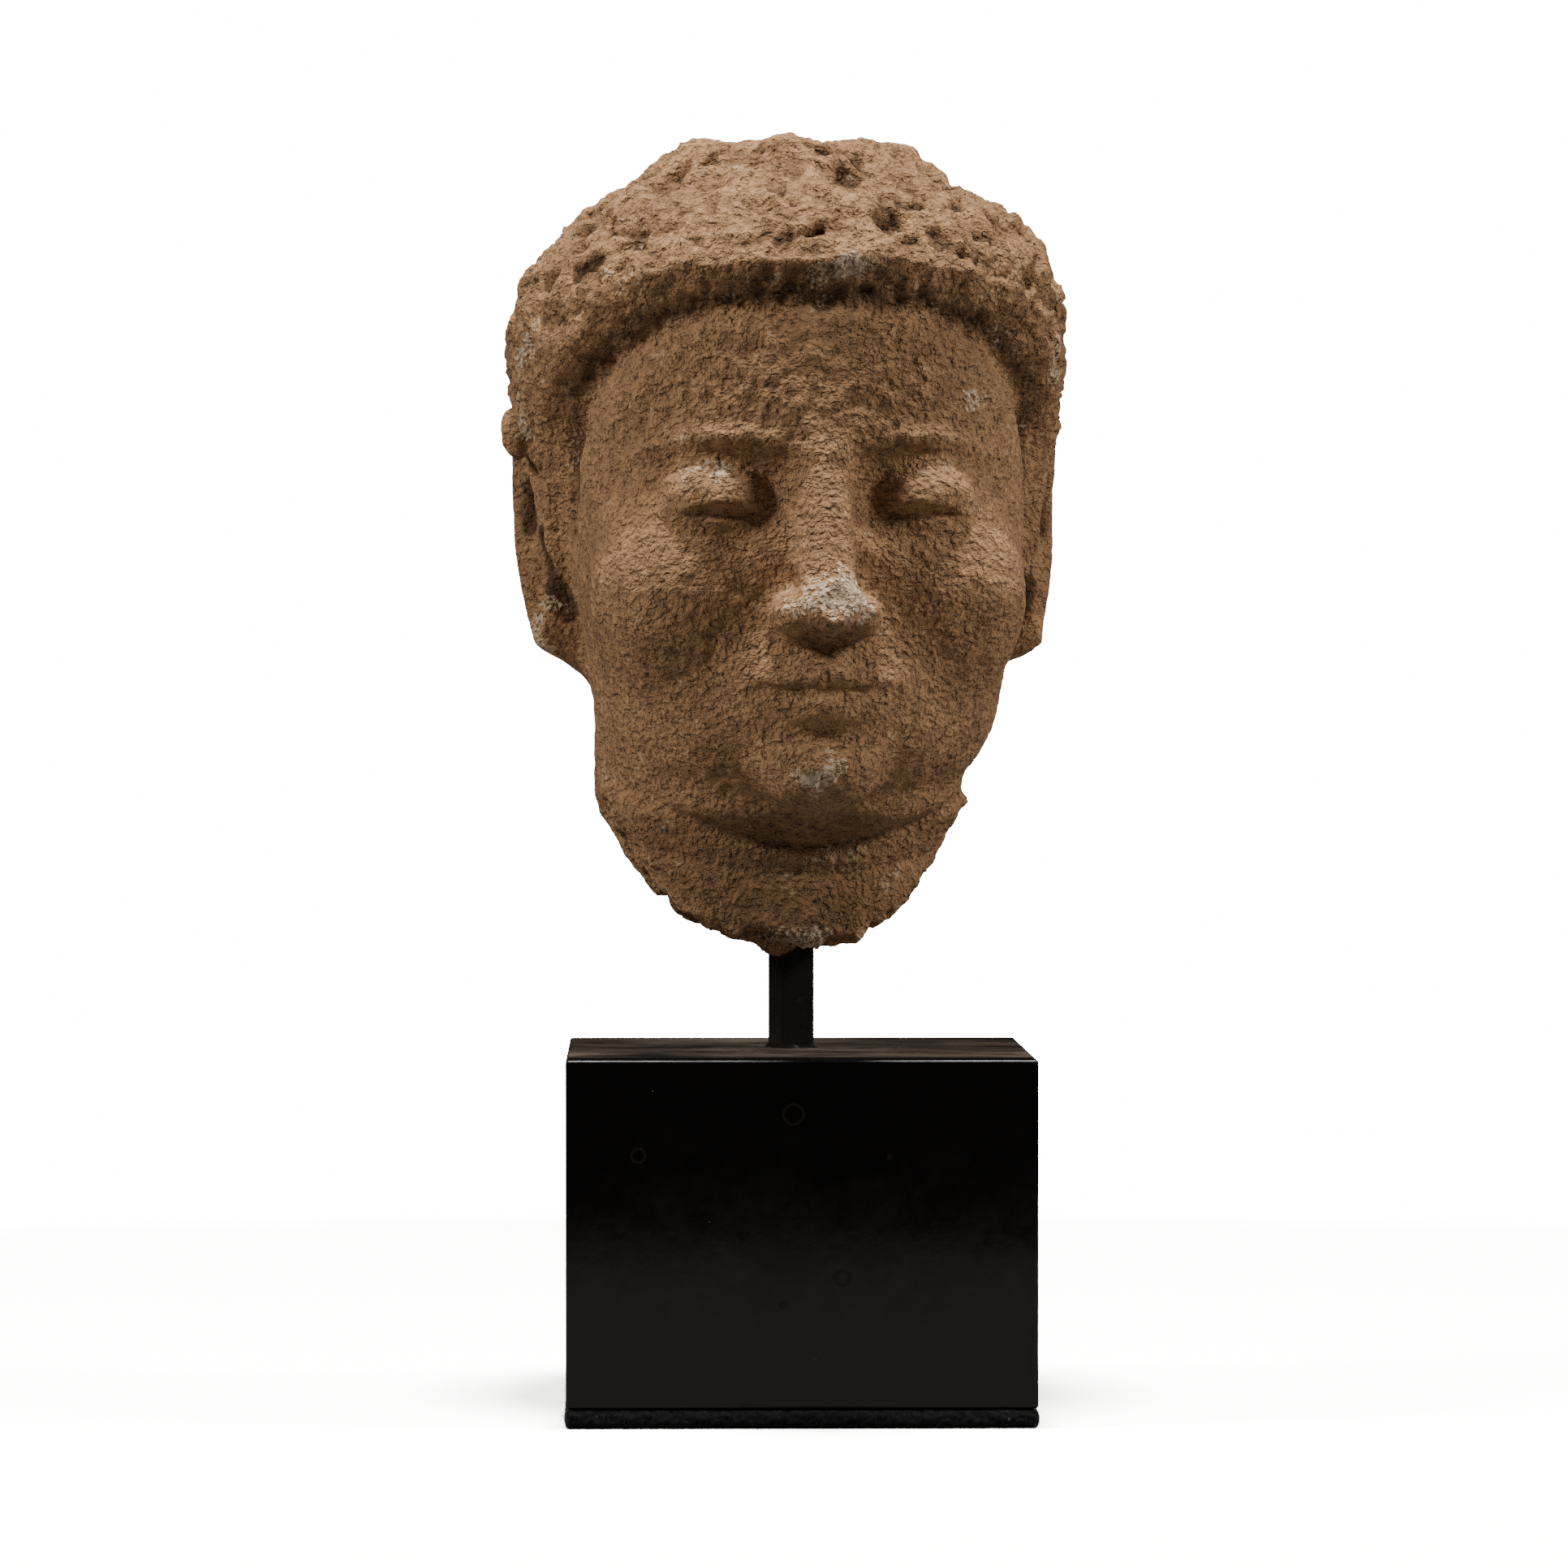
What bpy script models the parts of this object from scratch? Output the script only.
"""A weathered terracotta head, held by a square rod over a black block that stands on a felt pad.

The head is one solid of fired clay. Its form is worked out as a field: a number for each point
of space that is below zero inside the clay and above zero outside it. Rays from a spine inside
the head find where the field is zero, and those points are the skin of a closed grid mesh.
Inside the field the units are hundredths of the head's height, from the chin (0) to the crown
(100), with x to the head's left, y to its back and z up. All other sizes are in metres.
"""

import math

import bmesh
import bpy
import numpy as np
from mathutils import Matrix, Vector

MM = 0.001

# The block and its felt pad
BLOCK_WIDTH = 100 * MM
BLOCK_DEPTH = 100 * MM
BLOCK_HEIGHT = 73.7 * MM
BLOCK_EDGE = 0.6 * MM
FELT_THICKNESS = 4 * MM
FELT_OVERHANG = 0.5 * MM
FELT_EDGE = 1.1 * MM

# The square rod, turned on its own axis as the mount maker left it
ROD_SIDE = 8 * MM
ROD_EDGE = 0.7 * MM
ROD_SHOWN = 22.2 * MM
ROD_IN_BLOCK = 35 * MM
ROD_IN_HEAD = 45 * MM
ROD_X = -1.2 * MM
ROD_Y = 6.5 * MM
ROD_TURN = math.radians(20)

# The gap that keeps two touching pieces apart, as glue or a seam does
GAP = 0.3 * MM

# The head: its height from chin to crown, and how far the face turns to its left
HEAD_HEIGHT = 148 * MM
HEAD_TURN = math.radians(6)
COLUMNS = 160
ROWS = COLUMNS * 13 // 16
HEAD_FACES = 9200

# Places on the head in hundredths of its height. The face is cut in equal thirds: hairline to
# brow, brow to the base of the nose, and that to the chin. The mouth is a third of the last.
HAIRLINE = 77.0
BROW = HAIRLINE * 2 / 3
NOSE_BASE = HAIRLINE / 3
MOUTH = NOSE_BASE * 2 / 3
EYE_LEVEL = BROW - 6.6
EYE_WIDTH = 14.2
NECK_BOTTOM = -20.5
CROWN_BREAK = 98.3

CURL_LEVELS = (92, 84.5, 76.5, 68, 59, 50, 41, 32, 23)
CURL_SPACING = 10.5
EARS_BACK = 3.5
EARS_LEVEL = 40.3
NECK_HALF = (26.4, 25.0)
NECK_CENTRE = (-2.5, 2.0)


def length(vectors):
    """The length of each vector in an array whose last axis is x, y, z."""
    return np.sqrt((vectors * vectors).sum(-1))


def ellipsoid(p, centre, radii):
    """Below zero inside the ellipsoid, and about the distance to it near its surface."""
    q = (p - np.array(centre)) / np.array(radii)
    share = length(q)
    return share * (share - 1) / np.maximum(length(q / np.array(radii)), 1e-9)


def limb(p, start, end, start_radius, end_radius):
    """A straight bar of clay with round ends, whose radius changes evenly along it."""
    start, end = np.array(start, float), np.array(end, float)
    along = end - start
    share = np.clip(((p - start) @ along) / (along @ along), 0, 1)
    return length(p - start - share[..., None] * along) - (
        start_radius + (end_radius - start_radius) * share
    )


def join(a, b, soft):
    """Both forms as one, with a fillet about as wide as soft where they meet."""
    near = np.maximum(soft - np.abs(a - b), 0) / soft
    return np.minimum(a, b) - near * near * soft / 4


def keep(a, b, soft):
    """Only what is inside both forms, with an edge worn as round as soft."""
    return -join(-a, -b, soft)


def carve(a, b, soft):
    """The first form with the second cut out of it."""
    return keep(a, -b, soft)


def hump(value, middle, width):
    """One at the middle, falling smoothly to nothing about two widths away."""
    return np.exp(-(((value - middle) / width) ** 2))


def mirrored(p):
    """The points folded onto the head's left half, for what is the same on both sides."""
    folded = p.copy()
    folded[..., 0] = np.abs(folded[..., 0])
    return folded


def skull_and_jaw(p, m):
    """The bare egg of the head: skull, face, jaw, chin, cheeks and the muscle round the mouth."""
    form = ellipsoid(p, (0, 3, 62), (36.5, 41.5, 37))
    form = join(form, ellipsoid(p, (0, -9, 32), (32, 29.5, 33)), 14)
    form = join(form, ellipsoid(p, (0, -11, 13), (26, 24, 15)), 9)
    form = join(form, ellipsoid(m, (18.5, -24, 31), (12.5, 12.5, 13)), 6)
    form = join(form, ellipsoid(p, (0, -30.5, 18), (13, 10.5, 10)), 6)
    return join(form, ellipsoid(p, (0, -33.0, 6.2), (8.5, 7.8, 6.5)), 4)


def eyes(form, m):
    """Hollow sockets under the brow, with round eyes whose heavy lids are lowered in calm."""
    middle = EYE_WIDTH
    socket = ellipsoid(m, (13, -43.5, EYE_LEVEL + 1.2), (10.5, 9.5, 6.6))
    form = carve(form, socket, 5)
    centre = (middle, -29.4, EYE_LEVEL)
    ball = ellipsoid(m, centre, (7.8, 7.0, 6.5))
    upper = ellipsoid(m, centre, (9.0, 8.35, 7.6))
    lower = ellipsoid(m, centre, (8.8, 7.8, 7.3))
    bow = 1 - ((m[..., 0] - middle) / (EYE_WIDTH / 2)) ** 2
    meeting = EYE_LEVEL - 2.4
    upper = keep(upper, meeting + 1.3 * bow - m[..., 2], 0.5)
    lower = keep(lower, m[..., 2] - meeting + 1.1 * bow, 0.5)
    form = join(form, ball, 0.8)
    form = join(form, upper, 1.0)
    return join(form, lower, 1.6)


def nose(form, p, m):
    """A straight bridge that widens to the tip and the two wings, with shallow nostrils."""
    ridge = limb(p, (0, -37.3, BROW - 1), (0, -42.6, NOSE_BASE + 4.5), 3.0, 4.2)
    ridge = join(ridge, ellipsoid(p, (0, -44.6, NOSE_BASE + 3.4), (4.5, 4.6, 4.0)), 2)
    wings = ellipsoid(m, (4.9, -41.2, NOSE_BASE + 2.4), (2.9, 4.2, 3.0))
    form = join(form, join(ridge, wings, 1.6), 3)
    nostril = ellipsoid(m, (2.6, -44.0, NOSE_BASE - 0.6), (1.4, 2.6, 1.5))
    return carve(form, nostril, 1.2)


def mouth(form, p, m):
    """Full lips, closed, with a groove above them, a line between them and a dip below them."""
    upper = limb(m, (1.8, -40.7, MOUTH + 2.2), (10.2, -36.8, MOUTH + 0.6), 2.2, 1.1)
    lower = limb(m, (0, -40.2, MOUTH - 2.6), (9.0, -36.6, MOUTH - 0.9), 2.7, 1.2)
    form = join(form, upper, 2.2)
    form = join(form, lower, 2.2)
    line = limb(m, (0, -43.5, MOUTH - 0.1), (10.8, -38.6, MOUTH - 0.1), 0.9, 0.8)
    form = carve(form, line, 0.9)
    groove = limb(p, (0, -43.0, NOSE_BASE - 1.5), (0, -44.9, MOUTH + 5.2), 1.1, 1.3)
    form = carve(form, groove, 1.6)
    dip = ellipsoid(p, (0, -42.4, MOUTH - 6.6), (8, 2.2, 1.8))
    return carve(form, dip, 2.5)


def brows(form, m):
    """Two long arcs that stand a little proud of the forehead."""
    arc = BROW + 3.2 * np.sin(math.pi * np.clip(m[..., 0] / 30, 0, 1)) - 1.2
    reach = hump(m[..., 0], 15, 11) * (m[..., 1] < 0)
    return form - 1.2 * hump(m[..., 2], arc, 1.5) * reach


def hair_cap(p):
    """The close thick cap of hair, before the face is cut out of it. Near its top it leans to
    the head's left, and it dips a little round the broken crown."""
    lean = p.copy()
    lean[..., 0] -= hump(p[..., 2], 87, 8)
    cap = ellipsoid(lean, (0, 3, 66), (41.4, 44.4, 36))
    cap = join(cap, ellipsoid(p, (0, 10, 44), (37.5, 35.5, 37)), 8)
    return cap + 2.4 * hump(p[..., 2], 93, 4) - 0.8 * hump(p[..., 2], 78, 5)


def face_opening(p, m):
    """Below zero inside the opening for the face, which runs back to the ears.

    Seen from the front its sides are upright, its top is nearly level and its corners are
    rounded: |(x / 41, (z - 32) / 47)| = 1 in a 3.3 power norm, with a ragged edge."""
    width = m[..., 0] / 41.3
    height = np.maximum(p[..., 2] - 32, 0) / (HAIRLINE + 2.2 - 32)
    opening = ((width**3.3 + height**3.3) ** (1 / 3.3) - 1) * 38 + 0.5 * cloudy(p, 3.6, 21)
    return keep(opening, p[..., 1] + 7 + 0.3 * (p[..., 2] - 45), 6)


def hair(p, m):
    """The cap, less the opening for the face, whose front edge is a ledge over the forehead and
    temples. The opening narrows as it goes in, so that the ledge slopes down to the skin."""
    cap = hair_cap(p)
    return carve(cap, face_opening(p, m) - 1.05 * np.maximum(cap, -6), 0.6)


def cove(form, p, m):
    """A hollow along the foot of the ledge, pressed into the forehead and the temples."""
    front = smooth_step((-4 - p[..., 1]) / 8)
    return form + 1.3 * hump(face_opening(p, m), -5.2, 2.4) * front


def ear(m):
    """A long ear set on a slant: a plate with a raised rim, a hollow bowl and a slit lobe."""
    slant = math.radians(22)
    height = m[..., 2] - EARS_LEVEL
    out = m[..., 0] - 35.7 - 0.055 * height
    back = m[..., 1] - EARS_BACK - 0.08 * height
    across = back * math.cos(slant) + out * math.sin(slant)
    proud = out * math.cos(slant) - back * math.sin(slant)
    half_length = 17.3
    half_width = 6.3 + 1.3 * np.clip(height / half_length, -1, 1)
    share = np.hypot(across / half_width, height / half_length)
    slope = np.hypot(across / half_width**2, height / half_length**2)
    edge = share * (share - 1) / np.maximum(slope, 1e-9)
    thickness = 2.1 + 1.5 * hump(edge, -1.3, 1.2)
    thickness -= 3.2 * hump(across, -0.8, 2.2) * hump(height, 6, 6)
    thickness -= 2.8 * hump(across, 0.2, 1.3) * hump(height, -9, 4.5)
    plate = proud - thickness
    return keep(plate, edge + 0.4 * np.maximum(plate, -6), 1.2)


def ear_hollows(form, m):
    """The bowl of each ear and the slit beside its lobe, cut deep into the side of the head."""
    bowl = ellipsoid(m, (38.4, 3.0, 46), (3.6, 2.4, 5.8))
    slit = limb(m, (37.6, -2.2, 38.5), (34.0, -2.6, 29.5), 1.2, 1.5)
    return carve(carve(form, bowl, 0.9), slit, 0.8)


def neck(p):
    """A full round neck that runs up into the jaw and the nape."""
    across = (p[..., 0] - NECK_CENTRE[0]) / NECK_HALF[0]
    back = (p[..., 1] - NECK_CENTRE[1]) / NECK_HALF[1]
    column = (np.sqrt(across**2 + back**2) - 1) * min(NECK_HALF)
    return keep(column, p[..., 2] - 25, 4)


def neck_folds(form, p):
    """Two shallow creases that sag across the front of the neck."""
    sag = (p[..., 0] / NECK_HALF[0]) ** 2
    front = 1 / (1 + np.exp((p[..., 1] + 6) / 2))
    first = hump(p[..., 2], -5.0 + 8.5 * sag, 1.2)
    second = hump(p[..., 2], -9.4 + 5.0 * sag, 0.9)
    return form + (1.1 * first + 0.5 * second) * front


def neck_break(p):
    """The broken underside: low in the middle and in front, rising to the sides and the back."""
    side = np.minimum(np.abs(p[..., 0] + 1.7) / NECK_HALF[0], 0.98)
    floor = NECK_BOTTOM + 20 * side**2.8 + 9 * smooth_step((p[..., 1] - 4) / 22)
    floor = floor + smooth_step((np.abs(p[..., 0] - 1) - 5) / 3)
    return 0.6 * (floor - p[..., 2])


def crown_break(p):
    """The crown is broken off almost level, where a topknot once stood. Its front rim has a
    notch, a rise and a smaller notch, from the head's right to its left."""
    x = p[..., 0]
    rim = 1.1 * hump(x, -9, 3.2) - 0.6 * hump(x, -2.5, 3.5) + 0.4 * hump(x, 3, 2.5)
    rim = rim * smooth_step((2 - p[..., 1]) / 10)
    return p[..., 2] - CROWN_BREAK + rim - 0.015 * (p[..., 1] - 3)


def damage(form, p):
    """The tip of the nose is chipped away, and the chin is rubbed flatter on one side."""
    form = carve(form, ellipsoid(p, (1.5, -56.2, NOSE_BASE + 6), (12, 9, 9)), 0.8)
    return carve(form, ellipsoid(p, (-2, -44.0, 3.6), (6, 3.6, 3.8)), 1.0)


def clay(p):
    """The whole head as a field, below zero inside the clay, before the wear of its skin."""
    m = mirrored(p)
    form = skull_and_jaw(p, m)
    form = brows(form, m)
    form = eyes(form, m)
    form = nose(form, p, m)
    form = mouth(form, p, m)
    form = damage(form, p)
    form = join(cove(form, p, m), hair(p, m), 2)
    form = join(form, ear(m), 1.5)
    form = ear_hollows(form, m)
    form = join(form, ellipsoid(p, (-40.2, 1.5, 55.5), (2.6, 4, 4.2)), 2)
    throat = ellipsoid(p, (0, -7, 0.8), (25.5, 20.5, 7.0))
    form = join(form, throat, 3)
    form = neck_folds(join(form, neck(p), 5), p)
    form = keep(form, crown_break(p), 1.0)
    return keep(form, neck_break(p), 1.0)


def smooth_step(x):
    """Zero below 0, one above 1, and an even S between them."""
    x = np.clip(x, 0, 1)
    return x * x * (3 - 2 * x)


def rays(turn, climb):
    """Where each ray starts on the spine and which way it goes.

    turn is the angle round the head from the face, and climb runs from 0 under the neck to 1
    over the crown. The spine rises from the neck to the middle of the skull while the rays
    tip from straight down, through level, to straight up."""
    tip = np.where(climb < 0.25, climb / 0.25 - 1, np.maximum(climb - 0.6, 0) / 0.4)
    tip = tip * math.pi / 2
    rise = smooth_step((climb - 0.15) / 0.55)
    start = np.stack([np.zeros_like(turn), 2 + 1.5 * rise, -8 + 70 * rise], -1)
    flat = np.cos(tip)
    way = np.stack([flat * np.sin(turn), -flat * np.cos(turn), np.sin(tip)], -1)
    return start, way


def skin(field, turn, climb, reach=72.0, steps=56, halvings=13):
    """The points where rays from the spine meet the outside of a field.

    Each ray is walked inwards from its far end by a share of the field there, and never by
    much. Once it is inside, the last step is halved again and again around the crossing."""
    start, way = rays(turn, climb)
    out = np.full(turn.shape, reach)
    inside = np.zeros(turn.shape)
    for _ in range(steps):
        here = field(start + out[..., None] * way)
        found = here < 0
        inside = np.where(found & (inside == 0), out, inside)
        out = np.where(inside > 0, out, out - np.clip(0.7 * here, 0.05, 4))
    low = np.where(inside > 0, inside, out)
    high = low + 4.0
    for _ in range(halvings):
        middle = (low + high) / 2
        clear = field(start + middle[..., None] * way) > 0
        high = np.where(clear, middle, high)
        low = np.where(clear, low, middle)
    return start + low[..., None] * way


def even_climbs(field, turns, rows, trial_rows=240, blurs=6):
    """For each column, the climbs that space its rows along the skin, closer over the face.

    The skin is tried on many rows, its steps are measured, blurred with their neighbours and
    mixed with the mean step, and the running length is cut in equal shares."""
    trial = np.linspace(0, 1, trial_rows)
    turn, climb = np.meshgrid(turns, trial)
    tried = skin(field, turn, climb)
    step = length(np.diff(tried, axis=0)) * (1 + 0.9 * hump(tried[1:, :, 2], 32, 27))
    for _ in range(blurs):
        step = (np.roll(step, 1, 1) + 2 * step + np.roll(step, -1, 1)) / 4
    step += 0.25 * step.mean()
    run = np.vstack([np.zeros(len(turns)), np.cumsum(step, 0)])
    run /= run[-1]
    wanted = np.linspace(0, 1, rows)
    column = 2.0 * np.arange(len(turns))
    flat_run = (run + column).T.ravel()
    flat_climb = np.tile(trial, len(turns))
    flat_wanted = (wanted[:, None] + column).T.ravel()
    return np.interp(flat_wanted, flat_run, flat_climb).reshape(len(turns), rows).T


def head_grid(field, columns, rows):
    """The skin of a field as rows of points, closest across the face and the ears."""
    fine = np.linspace(-math.pi, math.pi, 721)
    close = 1 + 1.5 * hump(fine, 0, 0.75) + 0.9 * hump(np.abs(fine), 1.6, 0.3)
    run = np.concatenate([[0], np.cumsum(close[1:] + close[:-1])])
    turns = np.interp(np.linspace(0, run[-1], columns, endpoint=False), run, fine)
    climb = even_climbs(field, turns, rows + 2)[1:-1]
    turn = np.broadcast_to(turns, climb.shape)
    poles = skin(field, np.zeros(2), np.array([0.0, 1.0]))
    return relaxed(field, skin(field, turn, climb)), poles


def cloudy(p, size, seed):
    """Soft random swellings about size apart, from -1 to 1.

    Each point of a cubic lattice has its own random height, and between them the heights are
    mixed along S curves."""
    heights = np.random.default_rng(seed).uniform(-1, 1, (32, 32, 32))
    q = p / size + 160
    cell = np.floor(q).astype(int)
    share = smooth_step(q - cell)
    total = 0
    for i, j, k in np.ndindex(2, 2, 2):
        corner = (cell + np.array([i, j, k])) % 32
        weight = np.abs(share - 1 + np.array([i, j, k])).prod(-1)
        total = total + weight * heights[corner[..., 0], corner[..., 1], corner[..., 2]]
    return total


def curls(p, seed=5):
    """The hollows between worn curls: dents in rows round the cap, each row set off by half."""
    luck = np.random.default_rng(seed)
    around = np.arctan2(p[..., 0], -(p[..., 1] - 3))
    dents = np.zeros(around.shape)
    for row, level in enumerate(CURL_LEVELS):
        girth = 2 * math.pi * 43 * math.sqrt(max(1 - ((level - 62) / 40) ** 2, 0.1))
        count = round(girth / CURL_SPACING)
        slot = around / (2 * math.pi) * count + 0.5 * (1 - row % 2)
        nearest = np.round(slot).astype(int) % count
        shift = luck.uniform(-0.16, 0.16, count)[nearest]
        lift = luck.uniform(-1.2, 1.2, count)[nearest]
        depth = luck.uniform(0.8, 2.3, count)[nearest]
        aside = (slot - np.round(slot) - shift) * girth / count
        away = np.hypot(aside, 1.25 * (p[..., 2] - level - lift))
        dents += depth * smooth_step((3.7 - away) / 2.6)
    return dents


def slope_of(field, p, nudge=0.05):
    """How fast a field rises at each point in x, y and z, and its height there."""
    here = field(p)
    rise = np.stack([field(p + nudge * axis) - here for axis in np.eye(3)], -1) / nudge
    return rise, here


def relaxed(field, points, rounds=14):
    """Slides the points of a grid along the skin until they lie evenly between neighbours.

    Each round moves every point half way to the middle of its four neighbours, and then
    drops it back to the skin down the slope of the field."""
    for _ in range(rounds):
        middle = (np.roll(points, 1, 1) + np.roll(points, -1, 1))[1:-1]
        middle = (middle + points[2:] + points[:-2]) / 4
        points = points.copy()
        points[1:-1] = (points[1:-1] + middle) / 2
        for _ in range(2):
            rise, here = slope_of(field, points)
            steep = np.maximum((rise * rise).sum(-1), 0.2)
            points = points - np.clip(here / steep, -1, 1)[..., None] * rise
    return points


def worn(points, poles):
    """Moves the skin along its own slope: dents and lumps in the hair, soft wear elsewhere."""
    p = np.vstack([points.reshape(-1, 3), poles])
    slope, _ = slope_of(clay, p)
    slope /= np.maximum(length(slope), 1e-9)[:, None]
    m = mirrored(p)
    in_hair = smooth_step(1.6 - hair(p, m)) * smooth_step(ear(m) / 1.5)
    curled = in_hair * smooth_step((face_opening(p, m) - 0.5) / 2)
    broken = smooth_step(1.5 + crown_break(p)) + smooth_step(1.5 + neck_break(p))
    height = 0.25 * cloudy(p, 8, 1) + 0.5 * cloudy(p, 5, 2) * np.maximum(in_hair, broken)
    height += 0.7 * cloudy(p, 4, 3) * smooth_step(1.5 + neck_break(p))
    height -= curled * (1 - np.minimum(broken, 1)) * curls(p)
    p = p + height[:, None] * slope
    return p[:-2].reshape(points.shape), p[-2:]


def closed_grid(points, poles):
    """Vertices and faces of a grid that closes round its columns, with a pole at each end."""
    rows, columns = points.shape[:2]
    index = np.arange(rows * columns).reshape(rows, columns)
    right = np.roll(index, -1, 1)
    quads = np.stack([index[:-1], right[:-1], right[1:], index[1:]], -1).reshape(-1, 4)
    low_pole, high_pole = rows * columns, rows * columns + 1
    low = [(low_pole, b, a) for a, b in zip(index[0].tolist(), right[0].tolist())]
    high = [(high_pole, a, b) for a, b in zip(index[-1].tolist(), right[-1].tolist())]
    vertices = np.vstack([points.reshape(-1, 3), poles])
    return vertices, quads.tolist() + low + high


def material(name, colour, roughness, metallic=0.0):
    made = bpy.data.materials.new(name)
    made.use_nodes = True
    shader = made.node_tree.nodes["Principled BSDF"]
    shader.inputs["Base Color"].default_value = (*colour, 1)
    shader.inputs["Roughness"].default_value = roughness
    shader.inputs["Metallic"].default_value = metallic
    return made


def new_object(name, mesh, finish=None):
    made = bpy.data.objects.new(name, mesh)
    bpy.context.scene.collection.objects.link(made)
    if finish:
        mesh.materials.append(finish)
    return made


def box_object(name, size, middle, finish=None, turn=0.0):
    """A box of the given size with its middle at a point, turned about the upright axis."""
    mesh = bpy.data.meshes.new(name)
    shape = bmesh.new()
    bmesh.ops.create_cube(shape, size=1)
    bmesh.ops.scale(shape, vec=Vector(size), verts=shape.verts)
    shape.to_mesh(mesh)
    shape.free()
    made = new_object(name, mesh, finish)
    made.location = middle
    made.rotation_euler[2] = turn
    return made


def bevel(obj, width, segments=2):
    rounded = obj.modifiers.new("rounded edges", "BEVEL")
    rounded.width = width
    rounded.segments = segments
    rounded.limit_method = "ANGLE"


def cut_out(obj, cutter):
    """Cuts the cutter's shape out of the object. The cutter itself is only a guide."""
    cut = obj.modifiers.new("cut " + cutter.name, "BOOLEAN")
    cut.operation = "DIFFERENCE"
    cut.solver = "EXACT"
    cut.object = cutter
    cutter.hide_render = True
    cutter.display_type = "WIRE"


def rod_socket(name, bottom, top):
    """A guide as wide as the rod and its gap, for the holes that the rod stands in."""
    side = ROD_SIDE + 2 * GAP
    middle = (ROD_X, ROD_Y, (bottom + top) / 2)
    return box_object(name, (side, side, top - bottom), middle, turn=ROD_TURN)


def make_felt():
    black = material("black felt", (0.006, 0.006, 0.007), 1.0)
    size = (BLOCK_WIDTH + 2 * FELT_OVERHANG, BLOCK_DEPTH + 2 * FELT_OVERHANG, FELT_THICKNESS)
    felt = box_object("felt_pad", size, (0, 0, FELT_THICKNESS / 2), black)
    bevel(felt, FELT_EDGE, 3)
    return felt


def make_block(bottom):
    lacquer = material("black lacquer", (0.009, 0.008, 0.008), 0.12)
    middle = (0, 0, bottom + BLOCK_HEIGHT / 2)
    block = box_object("base_block", (BLOCK_WIDTH, BLOCK_DEPTH, BLOCK_HEIGHT), middle, lacquer)
    bevel(block, BLOCK_EDGE, 3)
    top = bottom + BLOCK_HEIGHT
    cut_out(block, rod_socket("block_socket_guide", top - ROD_IN_BLOCK - GAP, top + ROD_SHOWN))
    return block


def make_rod(bottom, top):
    paint = material("black painted steel", (0.012, 0.011, 0.010), 0.4, 0.0)
    size = (ROD_SIDE, ROD_SIDE, top - bottom)
    rod = box_object("rod", size, (ROD_X, ROD_Y, (bottom + top) / 2), paint, ROD_TURN)
    bevel(rod, ROD_EDGE, 3)
    return rod


def make_head(neck_bottom, rod_top):
    """The head, scaled from hundredths to its real height and set turned over the rod."""
    terracotta = material("worn terracotta", (0.32, 0.19, 0.105), 0.95)
    vertices, faces = closed_grid(*worn(*head_grid(clay, COLUMNS, ROWS)))
    mesh = bpy.data.meshes.new("head")
    mesh.from_pydata(vertices.tolist(), [], faces)
    unit = HEAD_HEIGHT / 100
    place = Matrix.Translation((ROD_X, ROD_Y, neck_bottom - NECK_BOTTOM * unit))
    mesh.transform(place @ Matrix.Rotation(HEAD_TURN, 4, "Z") @ Matrix.Scale(unit, 4))
    mesh.shade_smooth()
    head = new_object("head", mesh, terracotta)
    fewer = head.modifiers.new("fewer faces where it is smooth", "DECIMATE")
    fewer.ratio = HEAD_FACES / (2 * COLUMNS * (ROWS + 1))
    cut_out(head, rod_socket("head_socket_guide", neck_bottom - ROD_SHOWN, rod_top + GAP))
    return head


def main():
    for old in list(bpy.data.objects):
        bpy.data.objects.remove(old)
    block_bottom = FELT_THICKNESS + GAP
    block_top = block_bottom + BLOCK_HEIGHT
    neck_bottom = block_top + ROD_SHOWN
    rod_top = neck_bottom + ROD_IN_HEAD
    make_felt()
    make_block(block_bottom)
    make_rod(block_top - ROD_IN_BLOCK, rod_top)
    make_head(neck_bottom, rod_top)


if __name__ == "__main__":
    main()
